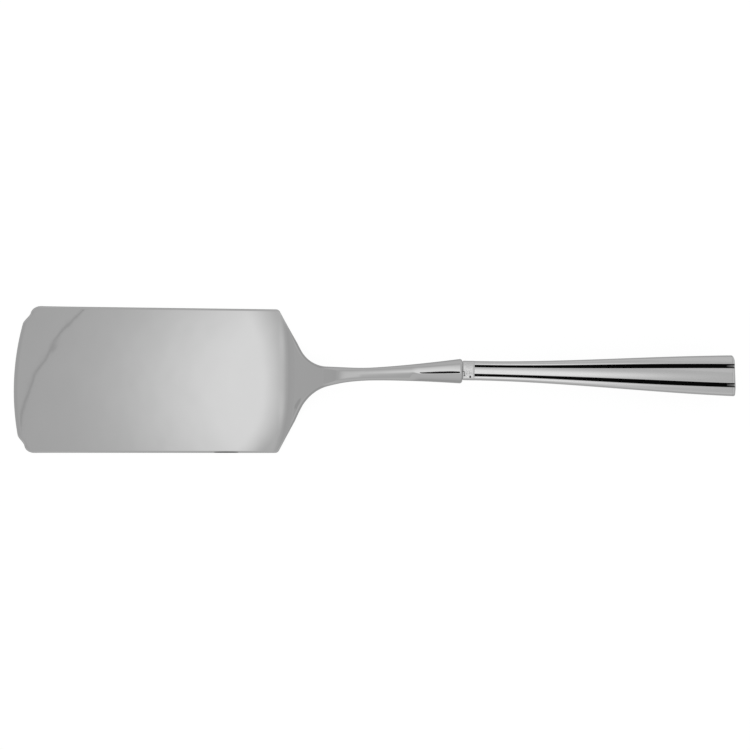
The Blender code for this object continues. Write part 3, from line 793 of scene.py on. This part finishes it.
def mottledSurface(name, first, second, size, detail, roughness, specular=0.5):
    # A dull surface that wanders between two colours in blotches, size mm across
    material, tree, shader = newMaterial(name)
    place = addNode(tree, "ShaderNodeTexCoord")
    blotch = addNode(tree, "ShaderNodeTexNoise", inputs={"Scale": 1 / (size * mm), "Detail": detail},
                     links={"Vector": place.outputs["Object"]})
    tone = addNode(tree, "ShaderNodeMix", settings={"data_type": "RGBA"},
                   inputs={6: linear(first), 7: linear(second)}, links={0: blotch.outputs["Fac"]})
    tree.links.new(tone.outputs[2], shader.inputs["Base Color"])
    shader.inputs["Roughness"].default_value = roughness
    shader.inputs["Specular IOR Level"].default_value = specular
    return material


# Stainless polished to a mirror: one soft pale cloud on the blade, crisp lines along the shank
steel = polishedMetal("polishedStainless", "#D3D3D3", roughness=0.016, grain=0.12, stretch=40, relief=0.006,
                      waves=0.4)
# Sterling buffed bright: broad pale streaks down the lobes, fading out towards the butt
silver = polishedMetal("buffedSilver", "#E2E2E2", roughness=0.06, grain=0.1, stretch=60, relief=0.02,
                       waves=0.05)
# The ferrule was dressed after soldering: the same silver, but mottled, with a few dark pits
collarSilver = polishedMetal("ferruleSilver", "#E2E2E2", roughness=0.09, grain=0.7, stretch=1, relief=0.6,
                             waves=0.1)
pitMetal(collarSilver, "#0A0A0A", [(34.4, 2.0, 0.95), (32.4, 2.45, 0.6), (31.9, 4.0, 0.5)])
# Silver solder filed flush along both sides: a dull line between the two shells
solder = polishedMetal("filedSolder", "#B9B9B9", roughness=0.35, grain=0.3, stretch=4, relief=0.3, waves=0.1)
# Painted shade: the flutes are coloured near black, standing in for the shade down in the grooves,
# so that each flute reads as one dark line
fluteShadePaint = mottledSurface("flutePaintedShade", "#010101", "#080808", size=0.8, detail=3.0, roughness=0.6,
                        specular=0.03)
# Painted shade in the flutes, paler near the butt
fadedFluteShadePaint = fadingFluteShade("flutePaintedShadeFaded", bolsterX + buttX - handle["shadeFadeLength"],
                  bolsterX + buttX + handle["capThickness"])
# Pitch and resin cement with brick dust in it: dull brown, seen only with a shell taken off
filler = mottledSurface("handleFiller", "#2E241C", "#6A5546", size=1.2, detail=5.0, roughness=0.9)


def dress(piece, node, material):
    piece.data.materials.clear()
    piece.data.materials.append(material)
    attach(piece, "root")
    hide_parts(node)


dress(blade, "blade", steel)
dress(upper, "handle_shell_upper", silver)
dress(lower, "handle_shell_lower", silver)
dress(ferrule, "neck_ferrule", collarSilver)
dress(cap, "butt_cap", silver)


# Where the flutes' painted shade is laid, and where it is paler
paintedFluteShade = {
    "share": 0.97,  # of the flute's half width that is painted near black, as shade
    "fadedShare": 0.45,  # of it where the painted shade is paler, near the butt
    "depth": 0.75,  # below the handle's crown, past which nothing is a flute
    "lean": 0.05,  # of the normal, so that the shell's inner side stays bright
}


def paintFluteShade(piece, turns):
    # The faces between the flutes' lips get painted shade, paler at the butt. turns are 1 for the
    # handle's top and -1 for its underside.
    back = handleAxis().inverted()
    piece.data.materials.append(fluteShadePaint)
    piece.data.materials.append(fadedFluteShadePaint)
    fadeStartX = buttX - handle["shadeFadeLength"]
    for face in piece.data.polygons:
        spot = (back @ face.center) / mm
        centre, half, _ = fluteAt(spot.x)
        off = abs(abs(spot.y) - centre)
        for turn in turns:
            nearTop = spot.z * turn > sectionZ(spot.x, 0.0) - paintedFluteShade["depth"]
            facing = face.normal.z * turn > paintedFluteShade["lean"]
            if off < half * paintedFluteShade["share"] and nearTop and facing:
                paler = spot.x > fadeStartX and off < half * paintedFluteShade["fadedShare"]
                face.material_index = 2 if paler else 1


# Painted shade in the flutes of both shells and of the cap
paintFluteShade(upper, [1])
paintFluteShade(lower, [-1])
paintFluteShade(cap, [1, -1])
for node, material in (("seam_solder_near", solder), ("seam_solder_far", solder), ("handle_cement", filler)):
    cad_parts[node].data.materials.clear()
    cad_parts[node].data.materials.append(material)
print("materials set")


# Studio

# Sizes and places in mm, glows where 1 is white. The metal sees a grey dome, floor and card.
studio = {
    "domeGlow": 0.53,  # near the floor, up to zenithGlow overhead
    "zenithGlow": 0.61,
    "domeLow": 0.1,  # the heights, of 1, between which it brightens
    "domeHigh": 0.9,
    "floorSize": 6000.0,
    "floorGap": 0.05,
    "floorColour": "#F4F4F4",
    "floorShare": 0.9,  # how much of the floor's white is its own glow
    "floorWhite": 1.03,
    "floorGlow": 0.44,  # as the metal sees it
    "cardHeight": 900.0,
    "cardReach": 175.0,  # a soft round light overhead, dimming outwards as (distance, glow)
    "cardPlace": (-8.0, -5.0),
    "cardLevels": [(0.0, 1.03), (52.0, 1.03), (59.0, 1.01), (68.0, 0.94), (78.0, 0.86), (88.0, 0.77),
                   (98.0, 0.69), (108.0, 0.63), (121.0, 0.585), (134.0, 0.56), (150.0, 0.545), (174.0, 0.53)],
    "lensPlace": (0.0, 1.0),
    "lensRadius": 31.0,  # the camera's lens, just below the card
    "lensDrop": 2.0,
    "lensLevels": [(0.0, 0.02), (17.0, 0.02)],
    "seamPlace": (-8.0, -41.8),
    "seamRadius": 140.0,  # an arc in the cloth, between seamTurns in degrees
    "seamWidth": 1.2,
    "seamTurns": (138.0, 192.0),
    "seamSteps": 80,
    "seamDrop": 1.0,
    "seamGlow": 0.42,
    "standPlace": (-53.3, -28.0, 2.7),
    "standSize": (4.5, 1.5, 4.2),  # half sizes
    "standSight": 6.5,  # how near a ray has to start to see it
    "standGlow": 0.02,
    "dimPlace": (-1300.0, 0.0, 910.0),
    "dimRadius": 300.0,  # a dimmer stretch of the dome, drawn out along X
    "dimStretch": 4.0,
    "dimLevels": [(0.0, 0.52), (200.0, 0.515), (270.0, 0.505), (300.0, 0.535)],
    "cameraHeight": 6000.0,
    "frameHeight": 8.0,  # over the plate's foot, where the picture is frameWidth wide
    "frameWidth": 269.93,
    "cameraReach": 40000.0,
    "aim": (0.16, 2.46),
    "turn": 0.40,  # degrees
}


def emptyMaterial(name):
    material = bpy.data.materials.new(name)
    material.use_nodes = True
    material.node_tree.nodes.clear()
    return material, material.node_tree


def makeWorld():
    # White to the camera, and to the metal a grey dome that brightens a little overhead
    world = bpy.data.worlds.new("studioWorld")
    bpy.context.scene.world = world
    world.use_nodes = True
    tree = world.node_tree
    tree.nodes.clear()
    rays = addNode(tree, "ShaderNodeLightPath")
    white = addNode(tree, "ShaderNodeBackground", inputs={"Color": (1, 1, 1, 1), "Strength": 1.0})
    place = addNode(tree, "ShaderNodeTexCoord")
    axes = addNode(tree, "ShaderNodeSeparateXYZ", links={0: place.outputs["Generated"]})
    glow = addNode(tree, "ShaderNodeMapRange", settings={"interpolation_type": "SMOOTHSTEP"},
                   inputs={"From Min": studio["domeLow"], "From Max": studio["domeHigh"],
                           "To Min": studio["domeGlow"], "To Max": studio["zenithGlow"]},
                   links={"Value": axes.outputs["Z"]})
    grey = addNode(tree, "ShaderNodeBackground", inputs={"Color": (1, 1, 1, 1)},
                   links={"Strength": glow.outputs["Result"]})
    chosen = addNode(tree, "ShaderNodeMixShader", links={0: rays.outputs["Is Glossy Ray"],
                                                        1: white.outputs[0], 2: grey.outputs[0]})
    addNode(tree, "ShaderNodeOutputWorld", links={"Surface": chosen.outputs[0]})


def makeFloor():
    # Nearly white by its own glow, with the rest painted, so that it takes the piece's soft shadow
    startFresh()
    floorZ = cadBounds[0][2] - studio["floorGap"] * mm
    bpy.ops.mesh.primitive_plane_add(size=studio["floorSize"] * mm, location=(0, 0, floorZ))
    floor = bpy.context.object
    floor.name = "paleFloor"
    material, tree = emptyMaterial("paleFloorPaint")
    rays = addNode(tree, "ShaderNodeLightPath")
    direct = addNode(tree, "ShaderNodeMath", settings={"operation": "MAXIMUM"},
                     links={0: rays.outputs["Is Camera Ray"], 1: rays.outputs["Is Transmission Ray"]})
    seen = addNode(tree, "ShaderNodeMath", settings={"operation": "MULTIPLY"},
                   inputs={1: studio["floorShare"]}, links={0: direct.outputs[0]})
    paint = addNode(tree, "ShaderNodeBsdfDiffuse", inputs={"Color": linear(studio["floorColour"])})
    glow = addNode(tree, "ShaderNodeEmission", inputs={"Strength": studio["floorWhite"]})
    mirrored = addNode(tree, "ShaderNodeEmission", inputs={"Strength": studio["floorGlow"]})
    lit = addNode(tree, "ShaderNodeMixShader",
                  links={0: seen.outputs[0], 1: paint.outputs[0], 2: glow.outputs[0]})
    chosen = addNode(tree, "ShaderNodeMixShader",
                     links={0: rays.outputs["Is Glossy Ray"], 1: lit.outputs[0], 2: mirrored.outputs[0]})
    addNode(tree, "ShaderNodeOutputMaterial", links={"Surface": chosen.outputs[0]})
    floor.data.materials.append(material)


def makeDisc(name, radius, place, levels, stretch=1.0):
    # A disc overhead that only the metal sees, glowing by the distance from its middle. levels are
    # (distance, glow), and stretch draws the disc out along X.
    startFresh()
    bpy.ops.mesh.primitive_circle_add(vertices=64, radius=radius * mm, fill_type="NGON")
    disc = bpy.context.object
    disc.name = name
    material, tree = emptyMaterial(name + "Glow")
    spot = addNode(tree, "ShaderNodeTexCoord")
    far = addNode(tree, "ShaderNodeVectorMath", settings={"operation": "LENGTH"},
                  links={0: spot.outputs["Object"]})
    share = addNode(tree, "ShaderNodeMath", settings={"operation": "DIVIDE"}, inputs={1: radius * mm},
                    links={0: far.outputs["Value"]})
    ramp = addNode(tree, "ShaderNodeValToRGB", links={"Fac": share.outputs[0]})
    top = max(level for _, level in levels)
    stops = ramp.color_ramp.elements
    for index, (reach, level) in enumerate(levels):
        stop = stops[index] if index < 2 else stops.new(1.0)
        stop.position = reach / radius
        stop.color = [level / top] * 3 + [1.0]
    glow = addNode(tree, "ShaderNodeEmission", inputs={"Strength": top},
                   links={"Color": ramp.outputs["Color"]})
    addNode(tree, "ShaderNodeOutputMaterial", links={"Surface": glow.outputs[0]})
    disc.data.materials.append(material)
    disc.location = Vector(place) * mm
    disc.scale = (stretch, 1.0, 1.0)
    showToMetalOnly(disc)


def glowMaterial(name, level):
    material, tree = emptyMaterial(name)
    glow = addNode(tree, "ShaderNodeEmission", inputs={"Strength": level})
    addNode(tree, "ShaderNodeOutputMaterial", links={"Surface": glow.outputs[0]})
    return material


def nearGlowMaterial(name, level, sight):
    # Clear to rays that start farther off than sight
    material, tree = emptyMaterial(name)
    glow = addNode(tree, "ShaderNodeEmission", inputs={"Strength": level})
    rays = addNode(tree, "ShaderNodeLightPath")
    far = addNode(tree, "ShaderNodeMath", settings={"operation": "GREATER_THAN"}, inputs={1: sight * mm},
                  links={0: rays.outputs["Ray Length"]})
    clear = addNode(tree, "ShaderNodeBsdfTransparent")
    chosen = addNode(tree, "ShaderNodeMixShader",
                     links={0: far.outputs[0], 1: glow.outputs[0], 2: clear.outputs[0]})
    addNode(tree, "ShaderNodeOutputMaterial", links={"Surface": chosen.outputs[0]})
    return material


def showToMetalOnly(piece):
    piece.visible_camera = False
    piece.visible_diffuse = False
    piece.visible_shadow = False


def makeSeam():
    # The seam where the light's cloth is joined draws a thin darker line over the front of the blade
    low, high = studio["seamTurns"]
    x, y = studio["seamPlace"]
    z = studio["cardHeight"] - studio["seamDrop"]
    steps = studio["seamSteps"]

    def pointAt(row, column):
        turn = math.radians(mix(low, high, row / steps))
        reach = studio["seamRadius"] + studio["seamWidth"] * (column - 0.5)
        return (x + reach * math.cos(turn), y + reach * math.sin(turn), z)

    seam = gridSkin("clothSeam", steps, 1, pointAt)
    seam.data.materials.append(glowMaterial("seamGlow", studio["seamGlow"]))
    showToMetalOnly(seam)


def makeStand():
    # Something dark beside the set that shows as a black sliver in the blade's lower edge. It is clear
    # from farther off, so that it leaves no image on the flat or on the neck.
    startFresh()
    bpy.ops.mesh.primitive_uv_sphere_add(segments=32, ring_count=16, radius=mm)
    stand = bpy.context.object
    stand.name = "darkStand"
    stand.scale = studio["standSize"]
    stand.location = Vector(studio["standPlace"]) * mm
    stand.data.materials.append(nearGlowMaterial("standGlow", studio["standGlow"], studio["standSight"]))
    showToMetalOnly(stand)


def makeCard():
    x, y = studio["cardPlace"]
    makeDisc("softCard", studio["cardReach"], (x, y, studio["cardHeight"]), studio["cardLevels"])
    # The camera's own dark lens draws the black line at the shank's end and over the ferrule
    x, y = studio["lensPlace"]
    place = (x, y, studio["cardHeight"] - studio["lensDrop"])
    makeDisc("darkLens", studio["lensRadius"], place, studio["lensLevels"])
    # A dimmer stretch of the dome out past the serving edge, seen where the heel bends up and where
    # the neck levels out
    makeDisc("dimSide", studio["dimRadius"], studio["dimPlace"], studio["dimLevels"], studio["dimStretch"])


def makeCamera():
    # Straight above, with the picture frameWidth wide at frameHeight
    lens = bpy.data.cameras.new("topCamera")
    camera = bpy.data.objects.new("topCamera", lens)
    bpy.context.scene.collection.objects.link(camera)
    lens.sensor_width = 36.0
    lens.lens = lens.sensor_width * studio["cameraHeight"] / studio["frameWidth"]
    lens.clip_end = studio["cameraReach"] * mm
    x, y = studio["aim"]
    camera.location = Vector((x, y, studio["cameraHeight"] + studio["frameHeight"])) * mm
    camera.rotation_euler = (0.0, 0.0, math.radians(studio["turn"]))
    bpy.context.scene.camera = camera


makeWorld()
makeFloor()
makeCard()
makeSeam()
makeStand()
makeCamera()
bpy.context.scene.view_settings.view_transform = "Standard"
print("studio set")
